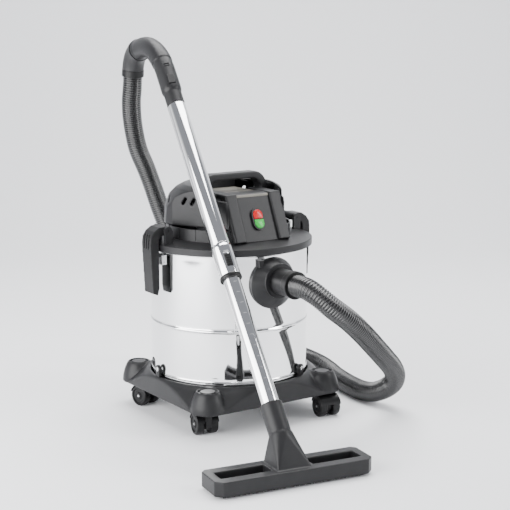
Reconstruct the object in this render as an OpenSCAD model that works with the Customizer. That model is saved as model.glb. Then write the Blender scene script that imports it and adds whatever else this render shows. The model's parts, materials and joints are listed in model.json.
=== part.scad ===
// Wet and dry shop vacuum on a four-caster dolly: a polished steel drum, a motor head held by
// two clamp levers, a corrugated hose, a bent handle, a telescopic wand and a floor head.
// Origin: on the floor under the drum's axis. The hose inlet and the switch face -Y.

/* [Drum] */
// Outer diameter of the steel drum
drum_d = 300; // [260:5:360]
// Height of the drum's rim above the floor
drum_top = 330; // [300:5:400]
// Thickness of the drum's sheet
drum_wall = 1.2; // [0.8:0.1:3]
// Height of the rolled bead around the drum
bead_z = 187.5; // [150:0.5:230]
// How far the rolled beads stand out
bead_r = 2; // [1:0.5:3]

/* [Dolly] */
// Width of the dolly across its flat sides
dolly_w = 322; // [316:2:360]
// Height of the dolly's lower edge above the floor
dolly_z = 45; // [45:1:50]
// Height of the dolly's rim above the floor
dolly_top = 86; // [80:1:100]
// Height of the floor plate that carries the drum
seat_z = 58; // [54:1:62]
// Radius of each caster housing at its lower edge
housing_r = 33; // [30:1:38]

/* [Casters] */
// Diameter of the wheels
wheel_d = 40; // [36:1:42]
// Width of one wheel
wheel_w = 15; // [12:1:18]
// Distance from the swivel axis to the wheel axle
caster_trail = 18; // [14:1:20]
// Radius of the swivel stem
stem_r = 5; // [4:0.5:6]
// Radius of the wheel axle
axle_r = 2.5; // [2:0.5:3]

/* [Inlet] */
// Height of the hose inlet above the floor
inlet_z = 283; // [250:1:290]
// Radius of the inlet's bore
inlet_r = 22; // [18:0.5:24]
// Radius of the inlet's round base
inlet_base_r = 48; // [44:1:52]

/* [Head] */
// Outer radius of the flange beyond the drum
flange_over = 10.2; // [8:0.2:14]
// Height of the flange's outer band
flange_h = 12.8; // [10:0.2:16]
// Height of the head's shell above the flange
cover_h = 108; // [100:1:120]
// Radius of the head's shell at its lower edge
cover_r = 123; // [116:1:126]
// Wall thickness of the head's shells
cover_wall = 3; // [2:0.5:4]
// Backward lean of the switch panel, in degrees
panel_lean = 24; // [18:1:28]

/* [Latches] */
// Width of each clamp lever
lever_w = 34; // [28:1:40]
// Radius of the lever's pivot pin
latch_pin_r = 3; // [2:0.5:4]

/* [Wand] */
// Outer radius of the wand's upper tube
outer_r = 17.5; // [16.5:0.5:19]
// Outer radius of the wand's lower tube
inner_r = 15.5; // [13:0.5:15.5]
// Wall thickness of both tubes
tube_wall = 0.9; // [0.7:0.1:1.2]
// Tilt of the wand from upright, in degrees
wand_tilt = 40.33; // [35:0.01:45]
// Heading of the wand from +X, in degrees
wand_yaw = 81.83; // [75:0.01:90]
// Length of lower tube that shows
inner_shown = 242; // [180:1:250]
// Length from the locking ring to the upper tube's end
outer_len = 379; // [340:1:420]
// How far the lower tube reaches up inside the upper tube
tube_lap = 145; // [100:1:160]

/* [Floor head] */
// Length of the floor head
head_l = 290; // [240:5:320]
// Depth of the floor head
head_d = 72; // [60:1:80]
// Height of the floor head's upper face
head_h = 30; // [26:1:36]

/* [Hose] */
// Outer diameter of the hose
hose_d = 40; // [36:1:42]
// Sides of the hose tube
hose_sides = 12; // [8:1:12]

/* [Hidden] */
$fn = 64;
fine = 96;
soft = 32;
eps = 0.01;
run = 0.05;
slack = 0.3;

drum_r = drum_d / 2;
flange_r = drum_r + flange_over;
gasket_h = 3;
flange_z = drum_top - 0.5;
flange_top = flange_z + flange_h;
deck_z = drum_top + gasket_h;
deck_top = deck_z + 6;
step_r = cover_r - 4;
cover_z = flange_top + 29;
cover_top = flange_top + cover_h;

housing_at = dolly_w / 2 - housing_r + 1.4;
caster_corners = [[-1, -1, 80], [1, -1, -98], [-1, 1, -75], [1, 1, 60]];
housing_top = dolly_top;
cap_r = 14;
cap_groove_r = 19;
clip_angles = [-62, 58, 178];

wheel_r = wheel_d / 2;
web_w = 11;
wheel_gap = web_w / 2 + 0.5;
axle_len = 2 * (wheel_gap + wheel_w);
fork_top = dolly_z - slack;

collar_y = drum_r + 25;
collar_r = 32;
connector_r = 24;
connector_end = drum_r + 75;

panel_y = -(cover_r - 1);
panel_z = flange_top + 8;
panel_half = 36;
rib_w = 25;
rib_deep = 11;
handle_y = -12;
handle_deep = 25;
handle_half = 72;
handle_bar = 13;
handle_top = flange_top + 123.7;
handle_corner = 28;
switch_up = 42;
switch_w = 26;
switch_h = 42;
button_w = 19.4;
button_h = 17.2;
button_gap = 1.6;

pivot_x = drum_r - 4;
pivot_z = flange_top + 25.7;
ear_w = 6;
ear_gap = 0.4;
strike_w = 26;

motor_r = 62;
motor_wall = 3;
motor_z = deck_top;
motor_h = 84;
fan_room = 22;
shaft_r = 4;
bearing_r = 11;
eye_r = 22;
cage_r = 60;
cage_wall = 2.5;
cage_bottom = 220;
float_r = 26;
float_z = cage_bottom + 3 + float_r + 1;

elbow = [-141.4, -380.3, 69.9];
socket_end = 60;
ring_at = socket_end + inner_shown;
ring_h = 7;
sleeve_h = 64;
sleeve_r = outer_r + 1.7;
wand_top = ring_at + outer_len;
wand_roll = 172;
notch_pitch = 21;
notch_count = 12;
release_at = ring_at + 34;

handle_r = 20;
handle_neck = 80;
bend_r = 130;
bend_angle = 68;
swivel_len = 8;
elbow_r = 48;
elbow_angle = 62;
collar_len = 14;

floor_yaw = wand_yaw - 90;
floor_at = [-143.8, -405.3, 0];
pocket_d = 30;
brush_h = 8;

// The hose's route from the handle's elbow, over the floor behind the drum, to the inlet
hose_route = [
    [-45.5, 287.6, 635.2], [-44.9, 291.7, 611], [-43, 300, 580], [-36, 309, 540],
    [-23, 313, 486],
    [-5, 311, 442], [8, 305, 401], [21, 300, 358], [34, 294, 318], [52, 287, 268], [74, 279, 216],
    [102, 268, 166], [137, 253, 122], [178, 233, 86], [220, 206, 59], [257, 173, 41],
    [283, 135, 29], [291, 94, 22], [282, 50, 20], [267, 6, 20], [256, -36, 20], [249, -75, 20],
    [247, -108, 20], [250, -138, 24], [255, -165, 36], [255, -190, 54], [241, -214, 77],
    [214, -237, 103], [179, -258, 130], [138, -277, 163], [98, -292, 196], [60, -299, 227],
    [28, -294, 252], [8, -278, 273], [0, -256, 283], [0, -225.2, 283]];

// ---- shared shapes ----

module ring(r_out, r_in, h) {
    difference() {
        cylinder(h = h, r = r_out, $fn = fine);
        translate([0, 0, -eps]) cylinder(h = h + 2 * eps, r = r_in, $fn = fine);
    }
}

module box(x, y, z) {
    translate([x[0], y[0], z[0]]) cube([x[1] - x[0], y[1] - y[0], z[1] - z[0]]);
}

module round_rect(w, h, r) {
    square([w - 2 * r, h], center = true);
    square([w, h - 2 * r], center = true);
    for (x = [-1, 1], y = [-1, 1])
        translate([x * (w / 2 - r), y * (h / 2 - r)]) circle(r = r);
}

module both_sides() {
    children();
    mirror([1, 0, 0]) children();
}

// ---- drum ----

module drum_outline() {
    rim_r = drum_r + 4;
    polygon([[0, seat_z], [drum_r, seat_z], [drum_r, drum_top - 2], [rim_r, drum_top - 2],
        [rim_r, drum_top], [drum_r - drum_wall, drum_top],
        [drum_r - drum_wall, seat_z + drum_wall], [0, seat_z + drum_wall]]);
}

module drum_bead(z, r) {
    rotate_extrude($fn = fine)
        intersection() {
            translate([drum_r - drum_wall / 2, z]) circle(r = r + drum_wall / 2, $fn = soft);
            translate([drum_r - drum_wall / 2, z - 2 * r]) square([3 * r, 4 * r]);
        }
}

module tank_shell() {
    color("silver")
    difference() {
        union() {
            rotate_extrude($fn = fine) drum_outline();
            drum_bead(bead_z, bead_r);
            drum_bead(dolly_top + 6, bead_r / 2);
        }
        translate([0, 0, inlet_z]) rotate([90, 0, 0])
            cylinder(h = drum_r + 10, r = inlet_r + 2.5);
    }
}

// ---- dolly ----

module at_casters() {
    for (c = caster_corners)
        translate([c[0] * housing_at, c[1] * housing_at, 0]) children();
}

module housing_dome(grow = 0) {
    h = housing_top - dolly_z;
    translate([0, 0, dolly_z])
    rotate_extrude($fn = fine)
        polygon([[0, 0], [housing_r + grow, 0], [housing_r - 1 + grow, 0.3 * h],
            [housing_r - 4 + grow, 0.6 * h], [housing_r - 8 + grow, 0.84 * h],
            [cap_groove_r + 2 + grow, h], [0, h]]);
}

module dolly_base() {
    slope_r = drum_r + 7;
    color([0.25, 0.25, 0.27])
    difference() {
        union() {
            intersection() {
                translate([0, 0, dolly_z])
                    linear_extrude(dolly_top - dolly_z) round_rect(dolly_w, dolly_w, housing_r);
                rotate_extrude($fn = fine)
                    polygon([[0, 0], [drum_r + 120, 0], [drum_r + 40, dolly_z + 12],
                        [slope_r + 10, dolly_top - 7], [slope_r, dolly_top], [0, dolly_top]]);
            }
            at_casters() housing_dome();
        }
        // seat of the drum and the hollow under it
        translate([0, 0, seat_z]) cylinder(h = dolly_top, r = drum_r + 2.4, $fn = fine);
        translate([0, 0, dolly_z - 1]) cylinder(h = seat_z - dolly_z - 3, r = drum_r - 22);
        translate([0, 0, dolly_z]) cylinder(h = seat_z, r = 60);
        // ring grooves, stem sockets
        at_casters() {
            translate([0, 0, housing_top - 6]) cylinder(h = 10, r = cap_groove_r);
            translate([0, 0, dolly_z - 1]) cylinder(h = 26, r = stem_r + run);
        }
    }
}

module caster_caps() {
    color([0.32, 0.32, 0.34])
    at_casters() translate([0, 0, housing_top - 6]) {
        cylinder(h = 2, r = cap_groove_r);
        cylinder(h = 5, r = cap_r);
    }
}

module dolly_clips() {
    clip_r = drum_r + 3;
    color([0.2, 0.2, 0.21])
    for (a = clip_angles) rotate([0, 0, a]) difference() {
        union() {
            box([clip_r, clip_r + 5], [-7, 7], [dolly_top, dolly_top + 14]);
            translate([clip_r, 0, dolly_top + 14]) rotate([0, 90, 0]) cylinder(h = 5, r = 8);
        }
        translate([clip_r - 1, 0, dolly_top + 14]) rotate([0, 90, 0]) cylinder(h = 9, r = 2.5);
    }
}

module clip_screws() {
    clip_r = drum_r + 3;
    color("dimgray")
    for (a = clip_angles) rotate([0, 0, a]) translate([clip_r, 0, dolly_top + 14])
        rotate([0, 90, 0]) {
            cylinder(h = 5, r = 2.5);
            translate([0, 0, 5]) cylinder(h = 2, r = 4.5);
        }
}

// ---- casters: i picks the corner ----

module at_caster(i) {
    c = caster_corners[i];
    translate([c[0] * housing_at, c[1] * housing_at, 0]) rotate([0, 0, c[2]]) children();
}

module on_axle(i) {
    at_caster(i) translate([caster_trail, 0, wheel_r]) rotate([90, 0, 0]) children();
}

module caster_fork(i) {
    hood_r = wheel_r + 2.2;
    color([0.14, 0.14, 0.15])
    difference() {
        union() {
            at_caster(i) {
                translate([0, 0, fork_top - 2]) cylinder(h = 22, r = stem_r);
                translate([0, 0, fork_top - 2.2]) cylinder(h = 2.2, r = 16);
                box([-6, caster_trail], [-web_w / 2, web_w / 2], [wheel_r - 4, fork_top - 1]);
            }
            on_axle(i) translate([0, 0, -web_w / 2]) cylinder(h = web_w, r = 12);
            // hood over both wheels, open towards the trail and below
            on_axle(i) translate([0, 0, -axle_len / 2]) difference() {
                ring(hood_r, wheel_r + 0.7, axle_len);
                translate([-2 * hood_r, -2 * hood_r, -1])
                    cube([4 * hood_r, 2 * hood_r + 6, axle_len + 2]);
            }
            on_axle(i) translate([0, 0, -web_w / 2]) difference() {
                cylinder(h = web_w, r = hood_r);
                translate([-2 * hood_r, -2 * hood_r, -1])
                    cube([4 * hood_r, 2 * hood_r + 6, web_w + 2]);
            }
        }
        on_axle(i) translate([0, 0, -axle_len]) cylinder(h = 2 * axle_len, r = axle_r + run);
    }
}

module caster_axle(i) {
    color("lightgray") on_axle(i) translate([0, 0, -axle_len / 2]) cylinder(h = axle_len, r = axle_r);
}

module caster_wheels(i) {
    color([0.1, 0.1, 0.11])
    on_axle(i) for (s = [-1, 1])
        translate([0, 0, s * (wheel_gap + wheel_w / 2) - wheel_w / 2]) ring(wheel_r, axle_r, wheel_w);
}

// ---- inlet ----

module towards_front(y, z = inlet_z) {
    translate([0, -y, z]) rotate([90, 0, 0]) children();
}

module inlet_flange() {
    base_z = inlet_z - 7;
    color([0.26, 0.26, 0.28])
    difference() {
        union() {
            hull() {
                towards_front(drum_r - 14, base_z) cylinder(h = 16, r = inlet_base_r, $fn = 48);
                towards_front(collar_y - 6) cylinder(h = 2, r = collar_r, $fn = 48);
            }
            towards_front(collar_y - 5) cylinder(h = 5, r = collar_r);
            box([-34, -24], [-drum_r - 8, -drum_r + 8],
                [base_z + inlet_base_r - 16, base_z + inlet_base_r - 3]);
        }
        cylinder(h = 2 * drum_top, r = drum_r, $fn = fine);
        towards_front(0) cylinder(h = 2 * drum_r, r = inlet_r);
    }
}

module inlet_deflector() {
    pipe_r = inlet_r + 2.4;
    turn_y = drum_r - 30;
    drop = 30;
    color([0.2, 0.2, 0.21])
    difference() {
        union() {
            intersection() {
                towards_front(turn_y) cylinder(h = drum_r, r = pipe_r);
                cylinder(h = 2 * drum_top, r = drum_r, $fn = fine);
            }
            translate([0, -turn_y, inlet_z]) sphere(r = pipe_r);
            translate([0, -turn_y, inlet_z - drop]) cylinder(h = drop, r = pipe_r);
        }
        towards_front(turn_y) cylinder(h = drum_r, r = inlet_r);
        translate([0, -turn_y, inlet_z]) sphere(r = inlet_r);
        translate([0, -turn_y, inlet_z - 2 * drop]) cylinder(h = 2 * drop, r = inlet_r);
    }
}

module hose_connector() {
    color([0.12, 0.12, 0.13])
    difference() {
        union() {
            towards_front(drum_r - 26) cylinder(h = collar_y - drum_r + 27, r = inlet_r - run);
            towards_front(collar_y + slack) cylinder(h = connector_end - collar_y - slack,
                r = connector_r);
            towards_front(connector_end - 14) cylinder(h = 14, r = connector_r + 1.5);
        }
        towards_front(0) cylinder(h = 2 * drum_r, r = inlet_r - 3);
    }
}

// ---- head ----

module lid_gasket() {
    color("black") translate([0, 0, drum_top]) ring(drum_r + 4, drum_r - 6, gasket_h);
}

module head_flange() {
    ledge_r = step_r + 8;
    color([0.25, 0.25, 0.27])
    difference() {
        union() {
            rotate_extrude($fn = fine)
                polygon([[flange_r, flange_z], [flange_r, flange_top - 0.8],
                    [flange_r - 0.8, flange_top], [ledge_r, flange_top + 5],
                    [step_r, flange_top + 6], [step_r, cover_z - 1],
                    [step_r - cover_wall, cover_z - 1], [step_r - cover_wall, deck_top],
                    [eye_r, deck_top], [eye_r, deck_z], [flange_r - 3, deck_z],
                    [flange_r - 3, flange_z]]);
            // ears that hold the clamp levers' pins
            both_sides() for (s = [-1, 1]) {
                y0 = s * (lever_w / 2 + ear_gap + ear_w / 2);
                box([pivot_x - 9, pivot_x + 7], [y0 - ear_w / 2, y0 + ear_w / 2],
                    [flange_top, pivot_z]);
                translate([pivot_x, y0 + ear_w / 2, pivot_z]) rotate([90, 0, 0])
                    cylinder(h = ear_w, r = 8);
            }
        }
        // upright recesses between the panels of the lower body
        for (a = [20 : 20 : 340]) rotate([0, 0, a - 90])
            box([step_r - 1.2, step_r + 2], [-7, 7], [flange_top + 8, cover_z]);
        translate([0, 0, pivot_z]) rotate([90, 0, 0])
            both_sides() translate([pivot_x, 0, -50]) cylinder(h = 100, r = latch_pin_r);
        // front window for the switch panel and the ribs of the handle
        on_panel() box([-panel_half - rib_w - 0.1, panel_half + rib_w + 0.1], [-60, rib_deep + 0.1],
            [-0.1, 130]);
        for (x = [-1, 1], y = [-1, 1]) translate([x * 72, y * 72, deck_z - 1])
            cylinder(h = 20, r = 2.5);
    }
}

module cover_form(inset) {
    r = cover_r - inset;
    t = cover_top - inset;
    front = -panel_y - inset;
    side = cover_r - 7 - inset;
    intersection() {
        rotate_extrude($fn = fine)
            polygon([[0, cover_z], [r, cover_z], [r - 2, cover_z + 33], [r - 10, t - 25],
                [r - 23, t - 12], [r - 36, t - 5], [r - 60, t - 1], [0, t]]);
        translate([0, 0, cover_z])
            linear_extrude(cover_h)
                polygon([[side + 6, 140], [side, 15], [62 - inset, -98 + inset], [52 - inset, -front],
                    [-52 + inset, -front], [-62 + inset, -98 + inset], [-side, 15],
                    [-side - 6, 140]]);
    }
}

module on_panel() {
    translate([0, panel_y, panel_z]) rotate([-panel_lean, 0, 0]) children();
}

module head_cover() {
    color([0.24, 0.24, 0.26])
    difference() {
        cover_form(0);
        translate([0, 0, -eps]) cover_form(cover_wall);
        // front window for the switch panel and the ribs of the handle
        on_panel() box([-panel_half - rib_w - 0.5, panel_half + rib_w + 0.5], [-60, rib_deep + 0.4],
            [-40, 130]);
        // roof window for the top panel
        box([-panel_half, panel_half], [-100, 34], [cover_top - 26, cover_top + 5]);
        // the carry handle's feet
        both_sides() box([panel_half - 0.4, handle_half + 0.4],
            [-100, handle_y + handle_deep / 2 + 0.4], [cover_top - 26, cover_top + 5]);
        // slanted cooling slots along both sides and the back
        for (a = [18 : 12 : 162]) rotate([0, 0, a]) translate([cover_r - 8, 0, cover_top - 32])
            rotate([35, 0, 0]) cube([24, 5, 15], center = true);
        for (s = [0, 1]) mirror([s, 0, 0]) for (k = [0 : 2])
            translate([cover_r - 14 - 7 * k, -12 - 18 * k, cover_top - 32]) rotate([0, 0, -26])
                rotate([35, 0, 0]) cube([24, 5, 15], center = true);
        // hole of the cable gland
        translate([0, cover_r - 20, cover_z + 18]) rotate([-90, 0, 0]) cylinder(h = 40, r = 8);
    }
}

module carry_handle() {
    foot_z = cover_top - 26;
    rib_h = 10;
    step = 0.2;
    rib_mid = foot_z + rib_h / 2 - panel_z;
    rib_front = panel_y + rib_mid * tan(panel_lean) + rib_deep / 2 / cos(panel_lean);
    color([0.2, 0.2, 0.22])
    union() {
        translate([0, handle_y + handle_deep / 2, foot_z]) rotate([90, 0, 0])
        linear_extrude(handle_deep) difference() {
            arch(handle_half, handle_top - foot_z, handle_corner);
            arch(handle_half - handle_bar, handle_top - foot_z - handle_bar,
                handle_corner - handle_bar / 2);
            translate([-2 * handle_half, -4 * handle_half]) square(4 * handle_half);
        }
        // ribs from the handle's feet to the front, then down beside the switch panel
        both_sides() {
            box([panel_half + step, panel_half + rib_w - step], [rib_front, handle_y],
                [foot_z, foot_z + rib_h]);
            difference() {
                on_panel() box([panel_half, panel_half + rib_w], [0, rib_deep], [0, cover_h]);
                translate([-cover_r, -cover_r, foot_z + rib_h]) cube(2 * cover_r);
            }
        }
    }
}

// an upright outline with rounded upper corners, its foot a little below the line Y = 0
module arch(half, h, r) {
    translate([-half, -1]) square([2 * half, h - r + 1]);
    translate([-half + r, -1]) square([2 * (half - r), h + 1]);
    for (x = [-1, 1]) translate([x * (half - r), h - r]) circle(r = r);
}

module top_panel() {
    color([0.55, 0.53, 0.49])
    difference() {
        box([-panel_half + slack, panel_half - slack], [-130, 33.5], [cover_top - 23, cover_top - 19]);
        on_panel() box([-200, 200], [-200, 4], [-200, 300]);
    }
}

module switch_outline(grow = 0) {
    round_rect(switch_w + 2 * grow, switch_h + 2 * grow, switch_w / 2 + grow - eps);
}

module on_switch(y) {
    on_panel() translate([0, y, switch_up]) rotate([-90, 0, 0]) children();
}

module switch_panel() {
    color([0.26, 0.26, 0.28])
    difference() {
        on_panel() box([-panel_half + slack, panel_half - slack], [5, 8], [1, 72]);
        on_switch(0) linear_extrude(20) switch_outline(0.1);
    }
}

module pill_outline(grow) {
    w = button_w + 2 * grow;
    h = 2 * button_h + button_gap + 2 * grow;
    round_rect(w, h, w / 2 - eps);
}

module switch_bezel() {
    color("black")
    difference() {
        on_switch(1) linear_extrude(8) switch_outline();
        for (s = [-1, 1]) on_switch(0) linear_extrude(20) half_pill(s, slack);
    }
}

module half_pill(s, grow = 0) {
    intersection() {
        pill_outline(grow);
        translate([-40, s > 0 ? -60 + grow - button_gap / 2 : button_gap / 2 - grow])
            square([80, 60]);
    }
}

module button(s) {
    on_switch(-1.5) linear_extrude(6.5) half_pill(s);
}

module red_button() {
    color("red") button(1);
}

module green_button() {
    color("limegreen") button(-1);
}

module switch_body() {
    color("dimgray")
    difference() {
        on_switch(9) linear_extrude(16) round_rect(switch_w, switch_h - 6, 2);
        motor_room();
    }
}

module motor_room() {
    translate([0, 0, motor_z - 1]) cylinder(h = motor_h + 2, r = motor_r + 1, $fn = fine);
}

module head_screws() {
    color("gray")
    for (x = [-1, 1], y = [-1, 1]) translate([x * 72, y * 72, deck_z - 2.4]) {
        cylinder(h = 2.4, r = 4.5);
        cylinder(h = 18, r = 2.5);
    }
}

module cable_gland() {
    color("black")
    translate([0, cover_r - 12, cover_z + 18]) rotate([-90, 0, 0]) difference() {
        union() {
            cylinder(h = 20, r = 7.8);
            translate([0, 0, 13.5]) cylinder(h = 3, r = 10);
        }
        translate([0, 0, -1]) cylinder(h = 30, r = 4);
    }
}

// ---- clamp levers ----

module lever_outline() {
    out = drum_r + 31;
    low = flange_z - 82;
    difference() {
        union() {
            translate([pivot_x, pivot_z]) circle(r = 8);
            polygon([[pivot_x, pivot_z + 8], [pivot_x + 15, pivot_z + 7], [out - 9, pivot_z],
                [out - 2, pivot_z - 10], [out, flange_top + 2], [out - 5, low + 4],
                [out - 15, low], [out - 18, low + 12], [out - 18, flange_z + 22],
                [out - 22, flange_z + 29], [pivot_x + 2, pivot_z - 8]]);
            // toe under the flange, clear of the drum's strike plate
            polygon([[out - 17, flange_z - 12], [drum_r + 5.6, flange_z - 6],
                [drum_r + 5.6, flange_z - 3.5], [out - 17, flange_z - 3.5]]);
        }
        translate([pivot_x, pivot_z]) circle(r = latch_pin_r + run);
    }
}

module lever() {
    groove_x = drum_r + 21;
    difference() {
        translate([0, lever_w / 2, 0]) rotate([90, 0, 0]) linear_extrude(lever_w) lever_outline();
        // grip grooves over the rounded top
        for (k = [-1, 0, 1])
            box([groove_x - 4, groove_x + 20], [8 * k - 1.5, 8 * k + 1.5],
                [flange_top - 8, pivot_z - 6]);
    }
}

module latch_right() {
    color([0.22, 0.22, 0.24]) lever();
}

module latch_left() {
    color([0.22, 0.22, 0.24]) mirror([1, 0, 0]) lever();
}

module latch_pins() {
    half = lever_w / 2 + ear_gap + ear_w;
    color("lightgray")
    both_sides() translate([pivot_x, half, pivot_z]) rotate([90, 0, 0])
        cylinder(h = 2 * half, r = latch_pin_r);
}

module latch_strikes() {
    color("silver")
    both_sides() difference() {
        box([drum_r - 4, drum_r + 5], [-strike_w / 2, strike_w / 2],
            [flange_z - 26, flange_z - 8]);
        cylinder(h = 2 * drum_top, r = drum_r, $fn = fine);
    }
}

// ---- motor, filter and float ----

module motor_housing() {
    color([0.35, 0.35, 0.37])
    translate([0, 0, motor_z]) difference() {
        cylinder(h = motor_h, r = motor_r, $fn = fine);
        translate([0, 0, -eps]) cylinder(h = fan_room, r = motor_r - motor_wall);
        translate([0, 0, fan_room + 4])
            cylinder(h = motor_h - fan_room - 12, r = motor_r - motor_wall);
        cylinder(h = motor_h - 4, r = bearing_r);
        for (a = [0 : 45 : 315]) rotate([0, 0, a]) translate([motor_r, 0, fan_room / 2])
            cube([20, 16, 10], center = true);
        for (a = [0 : 60 : 300]) rotate([0, 0, a]) translate([38, 0, motor_h - 9])
            cylinder(h = 20, r = 7);
    }
}

module motor_bearings() {
    color("lightgray")
    for (z = [fan_room - 3, motor_h - 12]) translate([0, 0, motor_z + z])
        ring(bearing_r, shaft_r + run, 7);
}

module motor_shaft() {
    color("lightgray") translate([0, 0, motor_z + 3]) cylinder(h = motor_h - 8, r = shaft_r);
}

module motor_armature() {
    color("peru") translate([0, 0, motor_z + fan_room + 10]) ring(26, shaft_r, 38);
}

module motor_stator() {
    color("darkgray") translate([0, 0, motor_z + fan_room + 8])
        difference() {
            ring(motor_r - motor_wall, 28, 40);
            for (a = [0 : 90 : 270]) rotate([0, 0, a + 45]) translate([48, 0, -1])
                cylinder(h = 60, r = 7);
        }
}

module motor_fan() {
    fan_r = motor_r - motor_wall - 4;
    color("silver")
    translate([0, 0, motor_z + 4]) difference() {
        union() {
            ring(fan_r, shaft_r, 1.5);
            ring(12, shaft_r, 13);
            difference() {
                translate([0, 0, 11.5]) cylinder(h = 1.5, r = fan_r);
                translate([0, 0, 10]) cylinder(h = 5, r = eye_r);
            }
            for (a = [0 : 40 : 320]) rotate([0, 0, a]) box([11, fan_r - 1], [-0.8, 0.8], [1, 12]);
        }
        translate([0, 0, -1]) cylinder(h = 40, r = shaft_r);
    }
}

module filter_cage() {
    color([0.3, 0.3, 0.32])
    difference() {
        union() {
            translate([0, 0, cage_bottom]) cylinder(h = deck_z - cage_bottom, r = cage_r);
            translate([0, 0, deck_z - 3]) cylinder(h = 3, r = cage_r + 27);
        }
        translate([0, 0, cage_bottom + 3])
            cylinder(h = deck_z - cage_bottom, r = cage_r - cage_wall);
        for (a = [0 : 45 : 315], z = [cage_bottom + 10, cage_bottom + 60]) rotate([0, 0, a])
            box([cage_r - 10, cage_r + 10], [-16, 16], [z, z + 42]);
        for (a = [0 : 60 : 300]) rotate([0, 0, a]) translate([38, 0, cage_bottom - 1])
            cylinder(h = 6, r = 9);
    }
}

module filter_cartridge() {
    filter_h = deck_z - 3 - cage_bottom - 2;
    pleats = 40;
    color("beige")
    translate([0, 0, cage_bottom + 2]) difference() {
        union() {
            translate([0, 0, 5]) cylinder(h = filter_h - 10, r = cage_r + 21);
            for (z = [0, filter_h - 6]) translate([0, 0, z]) cylinder(h = 6, r = cage_r + 25);
        }
        translate([0, 0, -1]) cylinder(h = filter_h + 2, r = cage_r + 1);
        for (k = [0 : pleats - 1]) rotate([0, 0, k * 360 / pleats])
            box([cage_r + 14, cage_r + 30], [-1.6, 1.6], [8, filter_h - 8]);
    }
}

module float_ball() {
    color("orange") translate([0, 0, float_z]) sphere(r = float_r);
}

// ---- wand: local +Z runs up the tube from the floor head's elbow ----

module along_wand(s = 0) {
    translate(elbow) rotate([0, 0, wand_yaw]) rotate([0, wand_tilt, 0]) translate([0, 0, s])
        children();
}

module inner_tube() {
    up = ring_at + tube_lap;
    color("gainsboro")
    along_wand() difference() {
        translate([0, 0, 18]) ring(inner_r, inner_r - tube_wall, up - 18);
        // ladder of locking notches
        rotate([0, 0, wand_roll]) for (k = [0 : notch_count - 1])
            box([inner_r - 0.5, inner_r + 2], [-5, 5],
                [socket_end + 8 + k * notch_pitch, socket_end + 8 + k * notch_pitch + 15]);
    }
}

module outer_tube() {
    color("gainsboro")
    along_wand(ring_at + ring_h) difference() {
        ring(outer_r, outer_r - tube_wall, outer_len - ring_h);
        rotate([0, 0, wand_roll])
            box([outer_r - 3, outer_r + 3], [-6, 6], [12, 44]);
    }
}

module wand_bush() {
    color("black")
    along_wand(ring_at + ring_h) difference() {
        ring(outer_r - tube_wall, inner_r + run, sleeve_h);
        rotate([0, 0, wand_roll])
            box([inner_r - 1, outer_r + 3], [-6, 6], [12, 44]);
    }
}

module wand_sleeve() {
    color("gainsboro")
    along_wand(ring_at + ring_h) difference() {
        union() {
            cylinder(h = sleeve_h - 6, r = sleeve_r, $fn = fine);
            translate([0, 0, sleeve_h - 6])
                cylinder(h = 6, r1 = sleeve_r, r2 = outer_r + 0.4, $fn = fine);
        }
        translate([0, 0, -1]) cylinder(h = sleeve_h + 2, r = outer_r);
        rotate([0, 0, wand_roll])
            box([outer_r - 3, sleeve_r + 3], [-6, 6], [12, 44]);
    }
}

module sleeve_ring() {
    color("black")
    along_wand(ring_at) ring(sleeve_r + 0.6, inner_r + run + 0.2, ring_h);
}

module release_slider() {
    color("black")
    along_wand(ring_at + ring_h + 12.3) rotate([0, 0, wand_roll]) difference() {
        union() {
            box([inner_r + 0.3, sleeve_r + 0.8], [-5.7, 5.7], [0, 25]);
            for (k = [0 : 4]) translate([0, 0, 3 + 4.5 * k])
                box([sleeve_r + 0.7, sleeve_r + 1.8], [-4.5, 4.5], [0, 1.6]);
        }
        translate([0, 0, -20]) cylinder(h = 100, r = inner_r + 0.3);
    }
}

module bend(radius, angle, r_out, r_in) {
    translate([radius, 0, 0]) rotate([90, 0, 0]) rotate([0, 0, 180 - angle])
        rotate_extrude(angle = angle, $fn = fine) translate([radius, 0]) difference() {
            circle(r = r_out);
            circle(r = r_in);
        }
}

module handle_tube() {
    wall = 2.4;
    color([0.15, 0.15, 0.16])
    along_wand(wand_top) difference() {
        union() {
            translate([0, 0, -42])
                ring(outer_r - tube_wall, outer_r - tube_wall - wall, 43);
            ring(outer_r - 0.5, inner_r - 1, 34);
            translate([0, 0, 30]) ring(outer_r + 1, inner_r - 1, handle_neck - 29.5);
            translate([0, 0, handle_neck]) bend(bend_r, bend_angle, handle_r, inner_r);
        }
        // bleed opening under the suction slider
        rotate([0, 0, wand_roll]) box([10, 40], [-4, 4], [46, 58]);
    }
}

module past_bend() {
    along_wand(wand_top + handle_neck)
        translate([bend_r * (1 - cos(bend_angle)), 0, bend_r * sin(bend_angle)])
            rotate([0, bend_angle, 0]) children();
}

module hose_elbow() {
    color([0.3, 0.3, 0.32])
    past_bend() {
        ring(handle_r + 3, inner_r - 1, swivel_len + 0.5);
        translate([0, 0, swivel_len]) bend(elbow_r, elbow_angle, handle_r + 2, inner_r);
    }
}

module past_elbow(s = 0) {
    past_bend() translate([elbow_r * (1 - cos(elbow_angle)), 0,
            swivel_len + elbow_r * sin(elbow_angle)])
        rotate([0, elbow_angle, 0]) translate([0, 0, s]) children();
}

module swivel_collar() {
    color("black") past_elbow(slack) ring(handle_r + 2.5, inner_r, collar_len - slack);
}

module suction_slider() {
    color([0.25, 0.25, 0.27])
    along_wand(wand_top + 42) rotate([0, 0, wand_roll]) difference() {
        box([outer_r - 2, outer_r + 3.5], [-7, 7], [0, 20]);
        translate([0, 0, -1]) cylinder(h = 40, r = outer_r + 1.2);
    }
}

// ---- floor head ----

module on_floor_head() {
    translate(floor_at) rotate([0, 0, floor_yaw]) children();
}

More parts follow.
